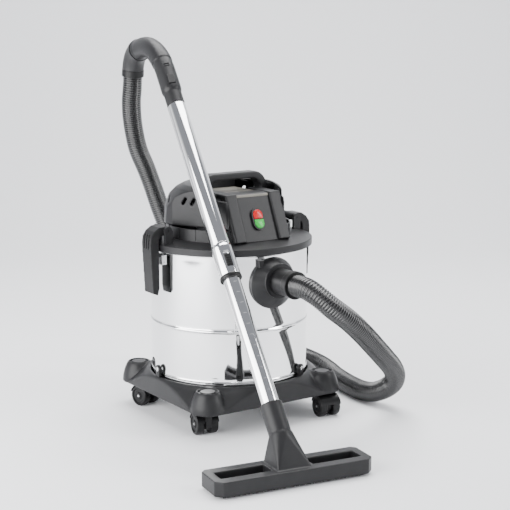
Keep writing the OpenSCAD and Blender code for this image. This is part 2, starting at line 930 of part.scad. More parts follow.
module floor_head() {
    low = 4;
    corner = 12;
    half = head_l / 2;
    color([0.22, 0.22, 0.24])
    difference() {
        union() {
            on_floor_head() translate([0, 0, low]) linear_extrude(head_h - low)
                polygon([[-half, -head_d / 2 + corner], [-half + corner, -head_d / 2],
                    [half - corner, -head_d / 2], [half, -head_d / 2 + corner],
                    [half, head_d / 2 - 8], [half - 8, head_d / 2],
                    [-half + 8, head_d / 2], [-half, head_d / 2 - 8]]);
            hull() {
                on_floor_head() translate([0, 3, head_h - 2])
                    linear_extrude(1) square([62, 56], center = true);
                along_wand(-4) cylinder(h = 8, r = inner_r + 5, $fn = soft);
            }
            along_wand() cylinder(h = socket_end, r = inner_r + 4);
        }
        // the wand's socket, the air's way down and the mouth in the sole
        along_wand(18) cylinder(h = socket_end, r = inner_r);
        along_wand(-6) cylinder(h = 40, r = inner_r - tube_wall);
        on_floor_head() translate([0, 20, low + 4]) cylinder(h = elbow[2] - 8, r = inner_r - 3);
        on_floor_head() box([-half + 20, half - 20], [-8, 8], [0, low + 6]);
        // pockets on both sides of the neck
        on_floor_head() both_sides()
            box([38, half - 16], [-pocket_d / 2, pocket_d / 2], [low + 10, head_h + 1]);
        // channels of the brush strips
        on_floor_head() for (y = [-24, 24])
            box([-half + 14, half - 14], [y - 3, y + 3], [0, brush_h]);
    }
}

module brush_strips() {
    half = head_l / 2 - 14.2;
    color("black")
    on_floor_head() for (y = [-24, 24]) box([-half, half], [y - 2.8, y + 2.8], [0, brush_h]);
}

// ---- hose ----

function unit(v) = v / norm(v);
function heading(route, i) = unit(route[min(i + 1, len(route) - 1)] - route[max(i - 1, 0)]);
function across(t) = unit(cross(t, [1, 0, 0]));
function ring_points(route, i, r, n) =
    let (t = heading(route, i), u = across(t), v = cross(t, u))
    [for (k = [0 : n - 1]) route[i] + r * (u * cos(360 * k / n) + v * sin(360 * k / n))];

module tube_along(route, r, n) {
    last = len(route) - 1;
    points = [for (i = [0 : last]) each ring_points(route, i, r, n)];
    sides = [for (i = [0 : last - 1], k = [0 : n - 1])
        [i * n + k, i * n + (k + 1) % n, (i + 1) * n + (k + 1) % n, (i + 1) * n + k]];
    polyhedron(points = points, faces = concat(
        [[for (k = [n - 1 : -1 : 0]) k]], sides, [[for (k = [0 : n - 1]) last * n + k]]));
}

module suction_hose() {
    color([0.08, 0.08, 0.09]) tube_along(hose_route, hose_d / 2, hose_sides);
}

tank_shell();
dolly_base();
caster_caps();
dolly_clips();
clip_screws();
inlet_flange();
inlet_deflector();
latch_strikes();
lid_gasket();
head_flange();
head_cover();
carry_handle();
switch_panel();
switch_bezel();
switch_body();
top_panel();
head_screws();
motor_housing();
motor_stator();
motor_bearings();
filter_cage();
filter_cartridge();
cable_gland();
latch_pins();
motor_shaft();
motor_armature();
motor_fan();
float_ball();
latch_left();
latch_right();
red_button();
green_button();
hose_connector();
handle_tube();
hose_elbow();
outer_tube();
wand_bush();
wand_sleeve();
sleeve_ring();
release_slider();
suction_slider();
swivel_collar();
inner_tube();
floor_head();
brush_strips();
suction_hose();
caster_fork(0);  // caster_fork_fl
caster_fork(1);  // caster_fork_fr
caster_fork(2);  // caster_fork_rl
caster_fork(3);  // caster_fork_rr
caster_axle(0);  // caster_axle_fl
caster_axle(1);  // caster_axle_fr
caster_axle(2);  // caster_axle_rl
caster_axle(3);  // caster_axle_rr
caster_wheels(0);  // caster_wheels_fl
caster_wheels(1);  // caster_wheels_fr
caster_wheels(2);  // caster_wheels_rl
caster_wheels(3);  // caster_wheels_rr
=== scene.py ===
"""Looks for the wet and dry shop vacuum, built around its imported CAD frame."""
import json
import math
import random

import bmesh
import bpy
from mathutils import Matrix, Vector


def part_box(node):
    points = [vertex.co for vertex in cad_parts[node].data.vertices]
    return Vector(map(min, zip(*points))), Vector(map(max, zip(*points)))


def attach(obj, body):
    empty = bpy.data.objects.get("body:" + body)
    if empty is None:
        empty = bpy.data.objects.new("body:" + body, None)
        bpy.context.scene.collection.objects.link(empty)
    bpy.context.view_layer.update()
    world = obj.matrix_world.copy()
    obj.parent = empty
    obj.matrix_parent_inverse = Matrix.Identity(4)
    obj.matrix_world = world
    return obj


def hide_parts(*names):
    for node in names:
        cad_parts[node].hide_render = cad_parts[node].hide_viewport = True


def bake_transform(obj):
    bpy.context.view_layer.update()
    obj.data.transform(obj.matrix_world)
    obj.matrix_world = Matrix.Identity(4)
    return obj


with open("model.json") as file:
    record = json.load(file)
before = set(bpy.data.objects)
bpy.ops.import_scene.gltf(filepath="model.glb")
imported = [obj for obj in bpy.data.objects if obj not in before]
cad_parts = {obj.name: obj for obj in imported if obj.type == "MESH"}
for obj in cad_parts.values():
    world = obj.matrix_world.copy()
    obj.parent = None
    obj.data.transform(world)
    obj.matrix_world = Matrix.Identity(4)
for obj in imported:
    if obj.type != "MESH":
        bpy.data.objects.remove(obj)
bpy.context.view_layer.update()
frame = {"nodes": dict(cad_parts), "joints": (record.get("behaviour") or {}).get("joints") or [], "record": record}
NODES = frame["nodes"]
JOINTS = {joint["name"]: joint for joint in frame["joints"]}
BODY_OF = {node: body for body, nodes in frame["record"]["behaviour"]["bodies"].items() for node in nodes}
SLOT_OF = {part["node"]: part["material_slot"] for part in frame["record"]["subparts"]}
MM = 0.001
FINE = 128
DRUM_RADIUS = 150 * MM
DRUM_SHEET = 1.2 * MM
INLET_Z = 0.283
TUBE_WALL = 0.9 * MM
WHEEL_WIDTH = 15 * MM
random.seed(7)


# ---- camera ----

def make_camera():
    data = bpy.data.cameras.new("camera")
    data.sensor_width = 36
    data.lens = 94.66
    data.shift_x = 0.052
    data.shift_y = 0.004
    camera = bpy.data.objects.new("camera", data)
    bpy.context.scene.collection.objects.link(camera)
    ahead = Vector((0.5299, 0.8274, -0.1863)).normalized()
    right = Vector((0.8416, -0.5401, -0.0051))
    up = right.cross(ahead).normalized()
    right = ahead.cross(up)
    turn = Matrix((right, up, -ahead)).transposed()
    camera.matrix_world = Matrix.Translation((-1.3684, -2.1365, 0.7813)) @ turn.to_4x4()
    bpy.context.scene.camera = camera


make_camera()


# ---- mesh helpers ----

def add_mesh(name, mesh):
    piece = bpy.data.objects.new(name, mesh)
    bpy.context.scene.collection.objects.link(piece)
    return piece


def from_lists(name, points, faces):
    mesh = bpy.data.meshes.new(name)
    mesh.from_pydata([tuple(p) for p in points], [], faces)
    mesh.validate()
    bm = bmesh.new()
    bm.from_mesh(mesh)
    bmesh.ops.remove_doubles(bm, verts=bm.verts, dist=1e-6)
    bmesh.ops.recalc_face_normals(bm, faces=bm.faces)
    bm.to_mesh(mesh)
    bm.free()
    return add_mesh(name, mesh)


def smooth(piece, degrees=35):
    """Smooth shading with edges sharper than this angle kept sharp."""
    bm = bmesh.new()
    bm.from_mesh(piece.data)
    limit = math.radians(degrees)
    for face in bm.faces:
        face.smooth = True
    for edge in bm.edges:
        edge.smooth = not (edge.is_manifold and edge.calc_face_angle(0) > limit)
    bm.to_mesh(piece.data)
    bm.free()
    return piece


def apply_modifiers(piece):
    bpy.context.view_layer.update()
    graph = bpy.context.evaluated_depsgraph_get()
    mesh = bpy.data.meshes.new_from_object(piece.evaluated_get(graph))
    piece.modifiers.clear()
    piece.data = mesh
    return piece


def revolve(name, outline, place=Matrix(), sides=FINE, closed=True):
    """Turns (radius, height) points about local Z. A closed outline makes a ring."""
    points, faces = [], []
    count = len(outline)
    for k in range(sides):
        turn = 2 * math.pi * k / sides
        points += [place @ Vector((r * math.cos(turn), r * math.sin(turn), z)) for r, z in outline]
    steps = count if closed else count - 1
    for k in range(sides):
        here, there = k * count, (k + 1) % sides * count
        for i in range(steps):
            j = (i + 1) % count
            faces.append((here + i, there + i, there + j, here + j))
    return from_lists(name, points, faces)


def arc(centre, radius, start, end, steps=6):
    """Points on an arc in the outline's plane, angles in degrees."""
    turns = [math.radians(start + (end - start) * k / steps) for k in range(steps + 1)]
    return [(centre[0] + radius * math.cos(a), centre[1] + radius * math.sin(a)) for a in turns]


def extrude(name, outline, low, high, place=Matrix()):
    """A prism over an outline in local XY, from low to high along local Z."""
    count = len(outline)
    points = [place @ Vector((x, y, z)) for z in (low, high) for x, y in outline]
    sides = [(i, (i + 1) % count, count + (i + 1) % count, count + i) for i in range(count)]
    return from_lists(name, points, [tuple(range(count))[::-1], tuple(range(count, 2 * count))] + sides)


def cut(piece, *cutters, join=False):
    """Takes the cutters out of a piece, or joins them to it, and deletes them."""
    for cutter in cutters:
        step = piece.modifiers.new("cut", "BOOLEAN")
        step.operation = "UNION" if join else "DIFFERENCE"
        step.solver = "EXACT"
        step.object = cutter
        apply_modifiers(piece)
        bpy.data.objects.remove(cutter)
    return piece


def bevel(piece, width, segments=2, degrees=30):
    """Rounds the edges sharper than an angle."""
    step = piece.modifiers.new("bevel", "BEVEL")
    step.width = width
    step.segments = segments
    step.limit_method = "ANGLE"
    step.angle_limit = math.radians(degrees)
    step.use_clamp_overlap = True
    step.harden_normals = False
    step = piece.modifiers.new("normals", "WEIGHTED_NORMAL")
    step.keep_sharp = True
    step.weight = 80
    smooth(piece, 60)
    return apply_modifiers(piece)


def copy_of(node, name=None):
    """A copy of a CAD node's mesh with its flat faces merged."""
    mesh = NODES[node].data.copy()
    bm = bmesh.new()
    bm.from_mesh(mesh)
    bmesh.ops.remove_doubles(bm, verts=bm.verts, dist=2e-6)
    bmesh.ops.dissolve_limit(bm, angle_limit=math.radians(0.6), verts=bm.verts, edges=bm.edges)
    bm.to_mesh(mesh)
    bm.free()
    mesh.materials.clear()
    for name_of in ("custom_normal", "sharp_edge", "sharp_face"):
        layer = mesh.attributes.get(name_of)
        if layer:
            mesh.attributes.remove(layer)
    return add_mesh(name or node + "_looks", mesh)


def span(node, place):
    """Lowest and highest corners of a CAD node in the frame called place."""
    back = place.inverted()
    points = [back @ v.co for v in NODES[node].data.vertices]
    return (Vector(min(p[i] for p in points) for i in range(3)),
            Vector(max(p[i] for p in points) for i in range(3)))


def stand_for(piece, *nodes, material):
    """Puts a piece in the place of CAD nodes: body and material."""
    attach(piece, BODY_OF[nodes[0]])
    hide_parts(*nodes)
    paint(piece, material)
    return piece


def add_on(piece, body, material):
    """A detail that has no CAD node of its own."""
    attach(piece, body)
    paint(piece, material)
    return piece


def paint(piece, material):
    piece.data.materials.clear()
    piece.data.materials.append(material)


# ---- materials ----

def new_material(name):
    material = bpy.data.materials.new(name)
    material.use_nodes = True
    tree = material.node_tree
    return material, tree, tree.nodes["Principled BSDF"]


def texture(tree, kind, scale, detail=3.0, stretch=(1, 1, 1)):
    """A noise or wave texture in object space, in cells per metre."""
    place = tree.nodes.new("ShaderNodeTexCoord")
    mapping = tree.nodes.new("ShaderNodeMapping")
    mapping.inputs["Scale"].default_value = stretch
    node = tree.nodes.new(kind)
    node.inputs["Scale"].default_value = scale
    if "Detail" in node.inputs:
        node.inputs["Detail"].default_value = detail
    tree.links.new(place.outputs["Object"], mapping.inputs["Vector"])
    tree.links.new(mapping.outputs["Vector"], node.inputs["Vector"])
    return node


def ramp(tree, source, low, high, start=0.3, end=0.7):
    """Maps a texture's value between two colours or two grey levels."""
    node = tree.nodes.new("ShaderNodeValToRGB")
    for element, place, value in zip(node.color_ramp.elements, (start, end), (low, high)):
        element.position = place
        element.color = (*value, 1) if isinstance(value, tuple) else (value, value, value, 1)
    tree.links.new(source, node.inputs["Fac"])
    return node.outputs["Color"]


def add_bump(tree, shader, source, strength, distance):
    node = tree.nodes.new("ShaderNodeBump")
    node.inputs["Strength"].default_value = strength
    node.inputs["Distance"].default_value = distance
    previous = shader.inputs["Normal"].links
    if previous:
        tree.links.new(previous[0].from_socket, node.inputs["Normal"])
    tree.links.new(source, node.inputs["Height"])
    tree.links.new(node.outputs["Normal"], shader.inputs["Normal"])


def plastic(name, colour, rough=0.42, grain=0.25, spread=0.12, specular=0.25):
    """Moulded plastic with a fine spark-eroded grain."""
    material, tree, shader = new_material(name)
    cloud = texture(tree, "ShaderNodeTexNoise", 38, 4)
    dark = tuple(c * (1 - spread) for c in colour)
    light = tuple(c * (1 + spread) for c in colour)
    tree.links.new(ramp(tree, cloud.outputs["Fac"], dark, light), shader.inputs["Base Color"])
    speckle = texture(tree, "ShaderNodeTexNoise", 1400, 2)
    tree.links.new(ramp(tree, speckle.outputs["Fac"], rough - 0.05, rough + 0.06), shader.inputs["Roughness"])
    add_bump(tree, shader, speckle.outputs["Fac"], grain, 0.00012)
    shader.inputs["Specular IOR Level"].default_value = specular
    return material


def metal(name, colour, rough=0.05, waviness=0.0, brushed=0.0):
    """Polished, plated or brushed metal."""
    material, tree, shader = new_material(name)
    shader.inputs["Metallic"].default_value = 1
    cloud = texture(tree, "ShaderNodeTexNoise", 22, 3)
    dark = tuple(c * 0.97 for c in colour)
    tree.links.new(ramp(tree, cloud.outputs["Fac"], dark, colour), shader.inputs["Base Color"])
    smudge = texture(tree, "ShaderNodeTexNoise", 60, 5)
    tree.links.new(ramp(tree, smudge.outputs["Fac"], rough * 0.75, rough * 1.35), shader.inputs["Roughness"])
    if waviness:
        sheet = texture(tree, "ShaderNodeTexNoise", 9, 1)
        add_bump(tree, shader, sheet.outputs["Fac"], waviness, 0.001)
    if brushed:
        lines = texture(tree, "ShaderNodeTexNoise", 900, 2, (1, 1, 0.03))
        add_bump(tree, shader, lines.outputs["Fac"], brushed, 0.0001)
    return material


MIRROR_STEEL = metal("mirror_steel", (0.90, 0.905, 0.91), 0.035, waviness=0.05)
CHROME = metal("chrome_plate", (0.86, 0.865, 0.87), 0.06)
ZINC = metal("zinc_plated_steel", (0.60, 0.60, 0.61), 0.28, brushed=0.2)
LAMINATED = metal("laminated_steel", (0.36, 0.36, 0.37), 0.45, brushed=0.6)
COPPER = metal("copper_winding", (0.72, 0.36, 0.19), 0.3, brushed=0.7)
ALUMINIUM = metal("pressed_aluminium", (0.78, 0.78, 0.80), 0.25, brushed=0.25)
CHARCOAL = plastic("charcoal_plastic", (0.0116, 0.0116, 0.0125), 0.40, 0.22)
BLACK = plastic("black_plastic", (0.0049, 0.0049, 0.0053), 0.38, 0.2)
GREY = plastic("grey_plastic", (0.0223, 0.0223, 0.0235), 0.42, 0.2)
INNER = plastic("inner_plastic", (0.13, 0.13, 0.14), 0.5, 0.3)
TOP_PLATE = plastic("top_plate_plastic", (0.15, 0.141, 0.12), 0.45, 0.3)
NYLON = plastic("wheel_nylon", (0.004, 0.004, 0.0043), 0.36, 0.15)
HOSE = plastic("hose_plastic", (0.0035, 0.0035, 0.0039), 0.24, 0.05, specular=0.7)
RUBBER = plastic("soft_rubber", (0.0034, 0.0034, 0.0035), 0.62, 0.35, specular=0.3)
BRISTLE = plastic("bristle_nylon", (0.0026, 0.0026, 0.0026), 0.6, 0.3, specular=0.3)
RED = plastic("red_cap_plastic", (0.45, 0.012, 0.012), 0.2, 0.02, 0.04)
GREEN = plastic("green_cap_plastic", (0.024, 0.348, 0.048), 0.2, 0.02, 0.04)
PAPER = plastic("filter_paper", (0.62, 0.58, 0.46), 0.85, 0.8, 0.15, 0.1)
FLOAT = plastic("float_plastic", (0.70, 0.22, 0.04), 0.35, 0.1)

MATERIAL_OF_SLOT = {
    "polished_steel": MIRROR_STEEL, "chrome_tube": CHROME, "charcoal_plastic": CHARCOAL,
    "grey_plastic": GREY, "black_plastic": BLACK, "wheel_plastic": NYLON, "top_plastic": TOP_PLATE,
    "red_cap": RED, "green_cap": GREEN, "hose_plastic": HOSE, "soft_rubber": RUBBER, "bristle": BRISTLE,
    "bare_steel": ZINC, "motor_steel": LAMINATED, "motor_copper": COPPER, "fan_aluminium": ALUMINIUM,
    "inner_plastic": INNER, "filter_paper": PAPER, "float_foam": FLOAT,
}
for node_name, node_object in NODES.items():
    paint(node_object, MATERIAL_OF_SLOT[SLOT_OF[node_name]])


# ---- stage ----

def make_stage():
    """A pale floor that curves up into a backdrop behind the object, square to the camera."""
    ahead = Vector((0.5395, 0.8420, 0))
    across = Vector((ahead.y, -ahead.x, 0))
    near, far, rise, radius, half = -3.5, 3.2, 4.0, 1.6, 7.0
    line = [(near, 0.0), (far - radius, 0.0)]
    line += [(far - radius + radius * math.sin(a), radius - radius * math.cos(a))
             for a in [math.pi / 2 * k / 12 for k in range(1, 13)]]
    line.append((far, rise))
    points = [ahead * d + across * side * half + Vector((0, 0, z)) for d, z in line for side in (-1, 1)]
    faces = [(2 * i, 2 * i + 1, 2 * i + 3, 2 * i + 2) for i in range(len(line) - 1)]
    sweep = from_lists("floor_sweep", points, faces)
    smooth(sweep, 60)
    material, tree, shader = new_material("pale_sweep")
    shader.inputs["Base Color"].default_value = (0.80, 0.805, 0.82, 1)
    shader.inputs["Roughness"].default_value = 0.75
    paint(sweep, material)


def area_light(name, place, target, size, power, spread=math.pi):
    data = bpy.data.lights.new(name, "AREA")
    data.shape = "RECTANGLE"
    data.size, data.size_y = size
    data.energy = power
    data.spread = spread
    lamp = bpy.data.objects.new(name, data)
    bpy.context.scene.collection.objects.link(lamp)
    lamp.location = place
    lamp.rotation_euler = (Vector(target) - Vector(place)).to_track_quat("-Z", "Y").to_euler()
    return lamp


def make_light():
    world = bpy.data.worlds.new("studio")
    world.use_nodes = True
    tree = world.node_tree
    back = tree.nodes["Background"]
    where = tree.nodes.new("ShaderNodeTexCoord")
    parts = tree.nodes.new("ShaderNodeSeparateXYZ")
    tree.links.new(where.outputs["Generated"], parts.inputs[0])
    tree.links.new(ramp(tree, parts.outputs["Z"], (1.0, 1.01, 1.03), (0.16, 0.165, 0.18), 0.1, 0.55),
                   back.inputs["Color"])
    back.inputs["Strength"].default_value = 2.2
    bpy.context.scene.world = world
    middle = (0, 0, 0.35)
    area_light("left_softbox", (-1.65, -0.14, 0.78), (0, 0, 0.6), (1.8, 1.5), 75)
    area_light("right_softbox", (1.9, -2.0, 1.5), middle, (0.7, 1.8), 60)
    area_light("top_softbox", (0.5, 0.5, 2.6), middle, (2.2, 2.2), 150)


make_stage()
make_light()


# ---- hose ----

# The same points as the hose's route in the CAD source, in millimetres
HOSE_ROUTE = [
    (-45.5, 287.6, 635.2), (-44.9, 291.7, 611), (-43, 300, 580), (-36, 309, 540), (-23, 313, 486),
    (-5, 311, 442), (8, 305, 401), (21, 300, 358), (34, 294, 318), (52, 287, 268), (74, 279, 216),
    (102, 268, 166), (137, 253, 122), (178, 233, 86), (220, 206, 59), (257, 173, 41),
    (283, 135, 29), (291, 94, 22), (282, 50, 20), (267, 6, 20), (256, -36, 20), (249, -75, 20),
    (247, -108, 20), (250, -138, 24), (255, -165, 36), (255, -190, 54), (241, -214, 77),
    (214, -237, 103), (179, -258, 130), (138, -277, 163), (98, -292, 196), (60, -299, 227),
    (28, -294, 252), (8, -278, 273), (0, -256, 283), (0, -225.2, 283)]
HOSE_RADIUS = 20 * MM
RIB_PITCH = 4.6 * MM
RIB_DEPTH = 1.9 * MM


def smooth_line(points, per_span=16):
    """A Catmull-Rom curve through the points."""
    ends = [2 * points[0] - points[1]] + points + [2 * points[-1] - points[-2]]
    line = []
    for a, b, c, d in zip(ends, ends[1:], ends[2:], ends[3:]):
        for k in range(per_span):
            t = k / per_span
            line.append(0.5 * ((2 * b) + (c - a) * t + (2 * a - 5 * b + 4 * c - d) * t * t
                               + (3 * b - a - 3 * c + d) * t ** 3))
    return line + [points[-1]]


def walk(line, step):
    """Points and directions at even steps along a line, and its length."""
    lengths = [0.0]
    for a, b in zip(line, line[1:]):
        lengths.append(lengths[-1] + (b - a).length)
    total = lengths[-1]
    count = round(total / step)
    spots, i = [], 0
    for k in range(count + 1):
        at = total * k / count
        while i < len(line) - 2 and lengths[i + 1] < at:
            i += 1
        share = (at - lengths[i]) / max(lengths[i + 1] - lengths[i], 1e-9)
        spots.append(line[i].lerp(line[i + 1], min(max(share, 0), 1)))
    heads = [(spots[min(k + 1, count)] - spots[max(k - 1, 0)]).normalized() for k in range(count + 1)]
    return spots, heads, total


def tube(name, spots, heads, radius_at, sides, caps=True):
    """A round tube along spots; its cross section doesn't twist. radius_at takes the ring's number."""
    side = heads[0].orthogonal().normalized()
    points, faces = [], []
    for k, (spot, head) in enumerate(zip(spots, heads)):
        side = (side - head * side.dot(head)).normalized()
        other = head.cross(side)
        for j in range(sides):
            turn = 2 * math.pi * j / sides
            points.append(spot + (side * math.cos(turn) + other * math.sin(turn)) * radius_at(k))
    for k in range(len(spots) - 1):
        for j in range(sides):
            i = (j + 1) % sides
            faces.append((k * sides + j, k * sides + i, (k + 1) * sides + i, (k + 1) * sides + j))
    if caps:
        last = (len(spots) - 1) * sides
        faces += [tuple(range(sides))[::-1], tuple(range(last, last + sides))]
    return from_lists(name, points, faces)


def make_hose():
    line = smooth_line([Vector(p) * MM for p in HOSE_ROUTE])
    per_rib = 6
    spots, heads, length = walk(line, RIB_PITCH / per_rib)
    shape = [0.0, 0.06, 0.55, 1.0, 0.55, 0.06]
    hose = tube("corrugated_hose", spots, heads, lambda k: HOSE_RADIUS - RIB_DEPTH * shape[k % per_rib], 32)
    smooth(hose, 180)
    paint(hose, HOSE)
    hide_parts("suction_hose")
    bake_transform(hose)
    print("hose length", round(length, 4))


make_hose()

# ---- drum ----

def make_tank():
    """The polished drum: rolled rim, two beads and a folded foot seam."""
    low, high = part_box("tank_shell")
    rim = high.x
    wall = DRUM_SHEET
    radius = DRUM_RADIUS
    bead_z, seam_z = 187.5 * MM, 92 * MM
    outline = [(0, low.z), (radius - 3 * MM, low.z)]
    outline += arc((radius - 3 * MM, low.z + 3 * MM), 3 * MM, -90, 0)
    outline += [(radius, seam_z - 3 * MM)] + bulge(radius, seam_z, 1.0 * MM, 2.2 * MM)
    outline += [(radius, z * MM) for z in range(100, 181, 8)]
    outline += bulge(radius, bead_z, 1.9 * MM, 4.2 * MM)
    outline += [(radius, z * MM) for z in range(196, 324, 8)]
    curl = (rim - radius) / 2
    outline += [(radius, high.z - 2 * curl - 1.5 * MM)]
    outline += arc((radius + curl * 0.2, high.z - curl), curl, -100, 90, 10)
    outline += [(radius - wall, high.z), (radius - wall, low.z + wall), (0, low.z + wall)]
    tank = revolve("steel_drum", outline, sides=192, closed=False)
    hole = revolve("hole", [(0, 0.10), (0.0245, 0.10), (0.0245, 0.17), (0, 0.17)],
                   place=Matrix.Translation((0, 0, INLET_Z)) @ Matrix.Rotation(math.pi / 2, 4, "X"),
                   closed=False)
    cut(tank, hole)
    stand_for(smooth(tank, 40), "tank_shell", material=MIRROR_STEEL)


def bulge(radius, z, out, half):
    """A rounded bead around the drum, as (radius, height) points."""
    return [(radius + out * math.cos(math.pi / 2 * t) ** 2, z + half * t)
            for t in [k / 6 for k in range(-6, 7)]]


# ---- wand ----

def wand_frame():
    """Local +Z runs up the wand from the lower end of the locking ring; +X leans towards the head."""
    along = Vector(JOINTS["telescope"]["axis"]).normalized()
    flat = Vector((along.x, along.y, 0)).normalized()
    tilt = math.acos(along.z)
    out = flat * math.cos(tilt) - Vector((0, 0, 1)) * math.sin(tilt)
    side = along.cross(out)
    low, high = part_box("sleeve_ring")
    turn = Matrix((out, side, along)).transposed().to_4x4()
    middle = (low + high) / 2
    place = Matrix.Translation(middle) @ turn
    low, high = span("sleeve_ring", place)
    return place @ Matrix.Translation((0, 0, low.z))


WAND = wand_frame()
WAND_ROLL = math.radians(172)
# turns a drawing so that its X lies across the wand, its Y along it and its Z out of it
SIDE_ON = Matrix(((0, 0, 1, 0), (1, 0, 0, 0), (0, 1, 0, 0), (0, 0, 0, 1)))


def beside_wand(out, along):
    """Where a drawing is cut into or laid on the side of the wand that carries its sliders."""
    return WAND @ Matrix.Rotation(WAND_ROLL, 4, "Z") @ Matrix.Translation((out, 0, along)) @ SIDE_ON


def tube_outline(r_out, r_in, low, high, soft=0.4 * MM):
    """A tube with rounded lips."""
    return ([(r_in, low), (r_out - soft, low)] + arc((r_out - soft, low + soft), soft, -90, 0, 3)
            + arc((r_out - soft, high - soft), soft, 0, 90, 3) + [(r_in, high)])


def notch_cutters(low, count, pitch, length, width, depth_from):
    """Rounded slots in a row along the wand."""
    cutters = []
    for k in range(count):
        outline = rounded_rect(width, length, 2.2 * MM)
        middle = low + k * pitch + length / 2
        cutters.append(extrude("slot", outline, 0, 10 * MM, beside_wand(depth_from, middle)))
    return cutters


def rounded_rect(width, height, radius, steps=5):
    points = []
    for cx, cy, start in ((1, 1, 0), (-1, 1, 90), (-1, -1, 180), (1, -1, 270)):
        centre = (cx * (width / 2 - radius), cy * (height / 2 - radius))
        points += arc(centre, radius, start, start + 90, steps)
    return points


def make_tubes():
    low, high = span("inner_tube", WAND)
    r_in_tube = high.y
    lower = revolve("lower_tube", tube_outline(r_in_tube, r_in_tube - TUBE_WALL, low.z, high.z), WAND, 96)
    first = low.z - 18 * MM + 68 * MM
    cut(lower, *notch_cutters(first, 12, 21 * MM, 14 * MM, 9 * MM, r_in_tube - 0.7 * MM))
    stand_for(smooth(lower, 40), "inner_tube", material=CHROME)
    low, high = span("outer_tube", WAND)
    upper = revolve("upper_tube", tube_outline(high.y, high.y - TUBE_WALL, low.z, high.z), WAND, 96)
    cut(upper, *notch_cutters(low.z + 12 * MM, 1, 0, 32 * MM, 12 * MM, high.y - 3 * MM))
    stand_for(smooth(upper, 40), "outer_tube", material=CHROME)
    tube_r = high.y
    low, high = span("wand_sleeve", WAND)
    r = high.y
    outline = [(tube_r, low.z), (r - 0.5 * MM, low.z)]
    outline += arc((r - 0.5 * MM, low.z + 0.5 * MM), 0.5 * MM, -90, 0, 3)
    outline += [(r, high.z - 9 * MM)] + arc((r - 0.7 * MM, high.z - 8 * MM), 0.7 * MM, 0, 50, 3)
    outline += [(tube_r + 0.6 * MM, high.z - 1.2 * MM)]
    outline += arc((tube_r, high.z - 0.8 * MM), 0.8 * MM, 20, 90, 3)
    sleeve = revolve("wand_sleeve_looks", outline, WAND, 96)
    cut(sleeve, *notch_cutters(low.z + 12 * MM, 1, 0, 32 * MM, 12 * MM, tube_r - 3 * MM))
    stand_for(smooth(sleeve, 40), "wand_sleeve", material=CHROME)
    low, high = span("sleeve_ring", WAND)
    outline = tube_outline(high.y, r_in_tube + 0.2 * MM, low.z, high.z, 1.2 * MM)
    ring = revolve("locking_ring", outline, WAND, 96)
    stand_for(smooth(ring, 40), "sleeve_ring", material=BLACK)


# ---- casters ----

def caster_frame(corner):
    """Local Z runs along the wheels' axle."""
    low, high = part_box("caster_axle_" + corner)
    axis = Vector(JOINTS[f"wheels_{corner}_spin"]["axis"]).normalized()
    up = Vector((0, 0, 1))
    turn = Matrix((axis.cross(up) * -1, up, axis)).transposed().to_4x4()
    return Matrix.Translation((low + high) / 2) @ turn


def make_wheels(corner):
    place = caster_frame(corner)
    low, high = span("caster_wheels_" + corner, place)
    radius, outer = high.y, high.z
    inner = outer - WHEEL_WIDTH
    bore, soft = 2.5 * MM, 2.6 * MM
    outline = [(bore, inner + 1.5 * MM), (7 * MM, inner + 1.5 * MM), (8 * MM, inner), (radius - soft, inner)]
    outline += arc((radius - soft, inner + soft), soft, -90, -8, 5)
    outline += arc((radius - soft, outer - soft), soft, 8, 90, 5)
    outline += [(radius - 5 * MM, outer), (radius - 6 * MM, outer - 1.6 * MM), (7.5 * MM, outer - 1.6 * MM)]
    outline += [(6.6 * MM, outer - 0.2 * MM), (4.4 * MM, outer - 0.2 * MM)]
    outline += [(3.8 * MM, outer - 1 * MM), (bore, outer - 1 * MM)]
    wheels = revolve("wheel", outline, place, 72)
    other = revolve("wheel", [(r, -z) for r, z in outline], place, 72)
    join(wheels, other)
    wheels.name = "wheels_" + corner
    stand_for(smooth(wheels, 32), "caster_wheels_" + corner, material=NYLON)


def join(piece, *others):
    """Adds other meshes to a piece."""
    bm = bmesh.new()
    for item in (piece, *others):
        bm.from_mesh(item.data)
    bm.to_mesh(piece.data)
    bm.free()
    for item in others:
        bpy.data.objects.remove(item)
    return piece


# ---- moulded plastic that starts from its CAD shape: melted into fillets, or with softened edges ----

def melt(piece, voxel, rounds=6, strength=0.5):
    """Remeshes a closed piece evenly and relaxes it, which rounds its edges and inner corners."""
    step = piece.modifiers.new("remesh", "REMESH")
    step.mode = "VOXEL"
    step.voxel_size = voxel
    step.adaptivity = 0
    apply_modifiers(piece)
    step = piece.modifiers.new("relax", "SMOOTH")
    step.factor = strength
    step.iterations = rounds
    apply_modifiers(piece)
    return smooth(piece, 180)


def thin_out(piece, share):
    step = piece.modifiers.new("fewer", "DECIMATE")
    step.ratio = share
    return smooth(apply_modifiers(piece), 180)


# Moulded shells that meet in fillets: voxel in mm, rounds of smoothing, share of faces kept
MELTED = {
    "dolly_base": (2.0, 12, 0.4), "carry_handle": (1.3, 10, 0.4), "head_cover": (1.5, 6, 0.35),
    "floor_head": (1.3, 8, 0.35), "latch_left": (1.0, 5, 0.4), "latch_right": (1.0, 5, 0.4),
}
SOFTENED = {
    "caster_caps": 0.8, "dolly_clips": 0.8, "inlet_flange": 1.2, "head_flange": 0.8,
    "switch_panel": 0.6, "top_panel": 0.6, "cable_gland": 0.6, "hose_connector": 0.8, "hose_elbow": 0.8,
    "swivel_collar": 0.6, "release_slider": 0.4, "suction_slider": 0.8,
    "caster_fork_fl": 0.6, "caster_fork_fr": 0.6, "caster_fork_rl": 0.6, "caster_fork_rr": 0.6,
}


def soften(node, width):
    piece = copy_of(node)
    bevel(piece, width * MM, 2, 28)
    stand_for(piece, node, material=MATERIAL_OF_SLOT[SLOT_OF[node]])


